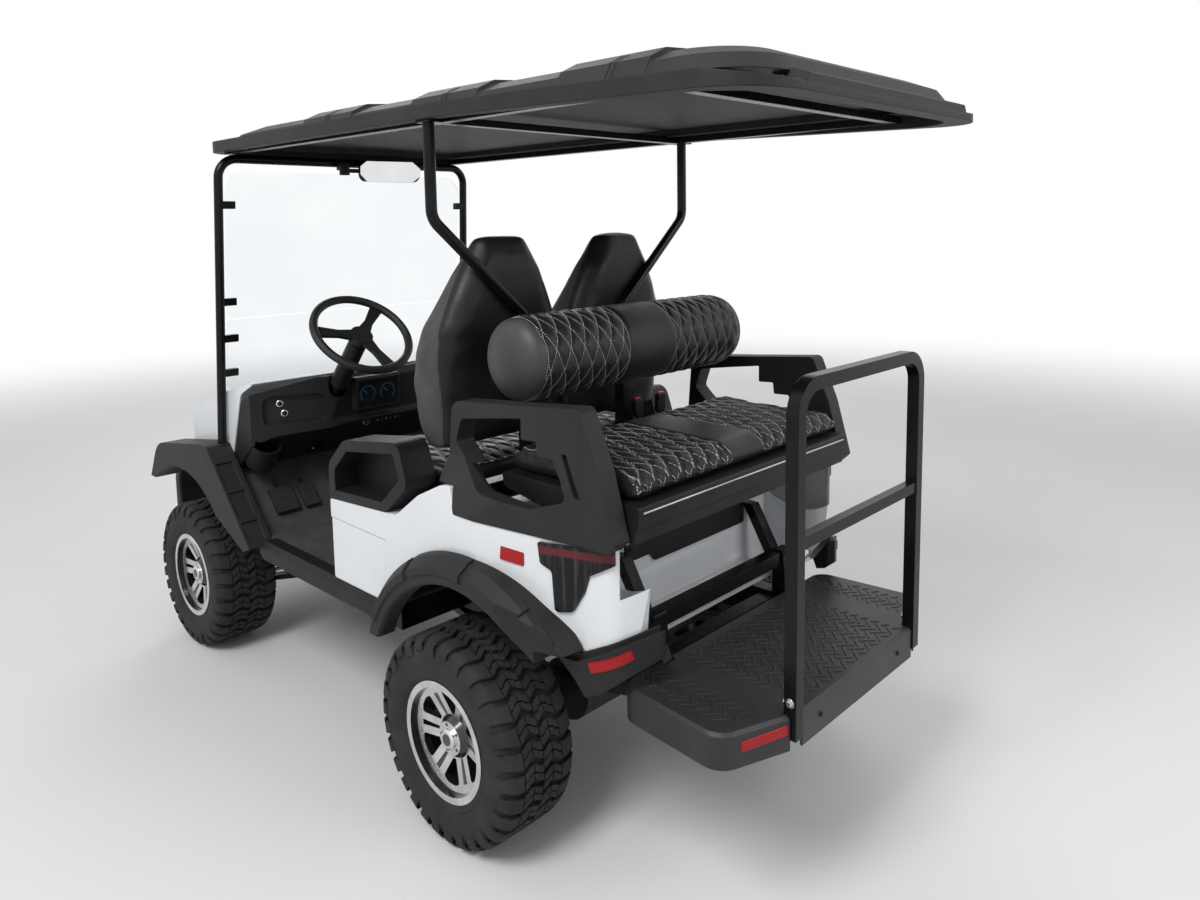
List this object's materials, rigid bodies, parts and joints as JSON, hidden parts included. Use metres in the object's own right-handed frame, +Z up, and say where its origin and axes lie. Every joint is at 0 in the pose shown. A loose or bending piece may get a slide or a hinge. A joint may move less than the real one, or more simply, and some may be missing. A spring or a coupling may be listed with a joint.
{
  "type": "golf cart",
  "caption": "Lifted golf cart with front and flipping rear-facing seats, long roof, foot platform with grab bar, alloy wheels on chunky tyres",
  "frame": {"origin": "on the ground under the middle of the cart's outer box", "axes": "+X forward, +Y to the driver's left, +Z up"},
  "size_m": [3.132, 1.338, 2.0579],
  "materials": {
    "black_metal": "satin powder coat",
    "mat": "matt",
    "black_plastic": "fine grain",
    "white_paint": "gloss",
    "grey_plastic": "textured",
    "lens": "clear lens",
    "smoked_lens": "smoked lens",
    "clear": "clear",
    "mirror_glass": "polished",
    "vinyl": "grained, stitched",
    "soft_black": "soft grip",
    "rubber_pad": "ribbed",
    "cast_metal": "cast",
    "steel_rod": "plain",
    "spring_steel": "plain",
    "battery_case": "plain",
    "alloy": "machined",
    "tyre_rubber": "matt"
  },
  "bodies": {
    "cart": {"chassis_frame": "black_metal", "floor_pan": "mat", "sills": "black_plastic", "rear_body": "white_paint", "rear_flares": "grey_plastic", "side_pods": "black_plastic", "armrests": "grey_plastic", "front_cowl": "white_paint", "front_bumper": "grey_plastic", "front_flares": "grey_plastic", "headlamps": "lens", "dash": "black_plastic", "tail_lamps": "smoked_lens", "rear_bumper": "grey_plastic", "roof": "grey_plastic", "roof_frame": "black_metal", "front_hoop": "black_metal", "mid_struts": "black_metal", "windshield": "clear", "mirror": "mirror_glass", "front_seat_base": "black_plastic", "front_seat_cushion": "vinyl", "front_seat_backs": "vinyl", "seat_frame": "black_metal", "rear_backrest": "vinyl", "foot_platform": "grey_plastic", "platform_frame": "black_metal", "grab_bar": "black_metal", "steering_column": "black_plastic", "pedals": "rubber_pad", "front_suspension": "black_metal", "rear_axle": "cast_metal", "rear_springs": "spring_steel", "battery_pack": "battery_case", "access_panel": "black_plastic"},
    "wheel_rear_left": {"rim_rear_left": "alloy", "tyre_rear_left": "tyre_rubber"},
    "wheel_rear_right": {"rim_rear_right": "alloy", "tyre_rear_right": "tyre_rubber"},
    "wheel_front_left": {"rim_front_left": "alloy", "tyre_front_left": "tyre_rubber"},
    "wheel_front_right": {"rim_front_right": "alloy", "tyre_front_right": "tyre_rubber"},
    "steer_left_side": {"knuckle_left": "cast_metal"},
    "steer_right_side": {"knuckle_right": "cast_metal"},
    "tie_bar": {"tie_rod": "steel_rod"},
    "steering_wheel_body": {"steering_wheel": "soft_black"},
    "rear_seat": {"rear_cushion": "vinyl", "rear_seat_tray": "black_plastic"}
  },
  "joints": [
    {"name": "wheel_rear_left", "type": "hinge", "parent": "cart", "child": "wheel_rear_left", "pos_m": [-0.624, 0.549, 0.29], "axis": [0, 1, 0], "continuous": true},
    {"name": "wheel_rear_right", "type": "hinge", "parent": "cart", "child": "wheel_rear_right", "pos_m": [-0.624, -0.549, 0.29], "axis": [0, 1, 0], "continuous": true},
    {"name": "steer_left", "type": "hinge", "parent": "cart", "child": "steer_left_side", "pos_m": [1.095, 0.425, 0.29], "axis": [0, 0, 1], "range_deg": [-28, 28]},
    {"name": "steer_right", "type": "hinge", "parent": "cart", "child": "steer_right_side", "pos_m": [1.095, -0.425, 0.29], "axis": [0, 0, 1], "range_deg": [-28, 28]},
    {"name": "wheel_front_left", "type": "hinge", "parent": "steer_left_side", "child": "wheel_front_left", "pos_m": [1.095, 0.522, 0.29], "axis": [0, 1, 0], "continuous": true},
    {"name": "wheel_front_right", "type": "hinge", "parent": "steer_right_side", "child": "wheel_front_right", "pos_m": [1.095, -0.522, 0.29], "axis": [0, 1, 0], "continuous": true},
    {"name": "tie_rod_pivot", "type": "hinge", "parent": "steer_left_side", "child": "tie_bar", "pos_m": [1.015, 0.425, 0.239], "axis": [0, 0, 1], "range_deg": [-28, 28]},
    {"name": "steering_wheel", "type": "hinge", "parent": "cart", "child": "steering_wheel_body", "pos_m": [0.356, 0.25, 1.285], "axis": [-0.6691, 0, 0.7431], "range_deg": [-336, 336]},
    {"name": "rear_seat_flip", "type": "hinge", "parent": "cart", "child": "rear_seat", "pos_m": [-1.064, 0, 0.95], "axis": [0, -1, 0], "range_deg": [0, 180]}
  ],
  "couplings": [
    {"joint": "steer_right", "follows": "steer_left", "ratio": 1},
    {"joint": "tie_rod_pivot", "follows": "steer_left", "ratio": -1},
    {"joint": "steering_wheel", "follows": "steer_left", "ratio": 12}
  ]
}
